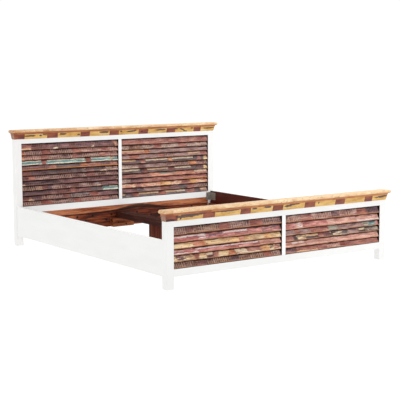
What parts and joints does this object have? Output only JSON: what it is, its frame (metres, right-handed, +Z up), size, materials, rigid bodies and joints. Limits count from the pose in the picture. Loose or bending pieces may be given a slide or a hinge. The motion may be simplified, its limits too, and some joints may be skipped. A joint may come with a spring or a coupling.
{
  "type": "wooden bed frame",
  "caption": "Double bed frame with white posts and rails, louvred reclaimed-wood panels, block-pattern crowns and a centre beam on legs.",
  "frame": {"origin": "on the floor, at the middle of the whole frame's box", "axes": "+Y from the footboard to the headboard, +X to the right seen from the foot, +Z up"},
  "size_m": [1.956, 2.188, 0.906],
  "materials": {
    "white_frame": "brushed white paint on hardwood, satin",
    "side_rails": "white paint outside and on top, bare brown wood inside",
    "reclaimed_slats": "weathered sawn boards with worn old paint",
    "panel_backing": "brown stained plywood",
    "lower_board": "oiled reclaimed wood with nail holes",
    "beam_timber": "dark stained sawn timber",
    "cleat_timber": "brown stained sawn timber",
    "crown_frieze": "jointed ochre and red-brown blocks, satin lacquer",
    "crown_cap": "light brown wood, satin lacquer",
    "bracket_steel": "bare grey mild steel",
    "fastener_steel": "zinc plated"
  },
  "bodies": {
    "root": {"head_post_left": "white_frame", "head_post_right": "white_frame", "head_top_rail": "white_frame", "head_lower_rail": "white_frame", "head_stile": "white_frame", "head_lower_board": "lower_board", "head_back_panel_left": "panel_backing", "head_back_panel_right": "panel_backing", "head_frieze": "crown_frieze", "head_cove": "crown_cap", "head_cap": "crown_cap", "foot_post_left": "white_frame", "foot_post_right": "white_frame", "foot_top_rail": "white_frame", "foot_bottom_rail": "white_frame", "foot_stile": "white_frame", "foot_back_panel_left": "panel_backing", "foot_back_panel_right": "panel_backing", "foot_frieze": "crown_frieze", "foot_cove": "crown_cap", "foot_cap": "crown_cap", "side_rail_left": "side_rails", "side_rail_right": "side_rails", "cleat_left": "cleat_timber", "cleat_right": "cleat_timber", "centre_beam": "beam_timber", "centre_leg_head": "beam_timber", "centre_leg_foot": "beam_timber", "beam_rest_head": "lower_board", "beam_rest_foot": "lower_board", "bracket_head_left": "bracket_steel", "bracket_head_right": "bracket_steel", "bracket_foot_left": "bracket_steel", "bracket_foot_right": "bracket_steel", "bracket_bolts": "fastener_steel", "bracket_screws": "fastener_steel", "cleat_screws": "fastener_steel", "head_slat_row_01": "reclaimed_slats", "head_slat_row_02": "reclaimed_slats", "head_slat_row_03": "reclaimed_slats", "head_slat_row_04": "reclaimed_slats", "head_slat_row_05": "reclaimed_slats", "head_slat_row_06": "reclaimed_slats", "head_slat_row_07": "reclaimed_slats", "head_slat_row_08": "reclaimed_slats", "head_slat_row_09": "reclaimed_slats", "head_slat_row_10": "reclaimed_slats", "head_slat_row_11": "reclaimed_slats", "head_slat_row_12": "reclaimed_slats", "foot_slat_left_1": "reclaimed_slats", "foot_slat_left_2": "reclaimed_slats", "foot_slat_left_3": "reclaimed_slats", "foot_slat_left_4": "reclaimed_slats", "foot_slat_left_5": "reclaimed_slats", "foot_slat_left_6": "reclaimed_slats", "foot_slat_right_1": "reclaimed_slats", "foot_slat_right_2": "reclaimed_slats", "foot_slat_right_3": "reclaimed_slats", "foot_slat_right_4": "reclaimed_slats", "foot_slat_right_5": "reclaimed_slats", "foot_slat_right_6": "reclaimed_slats"}
  },
  "joints": []
}
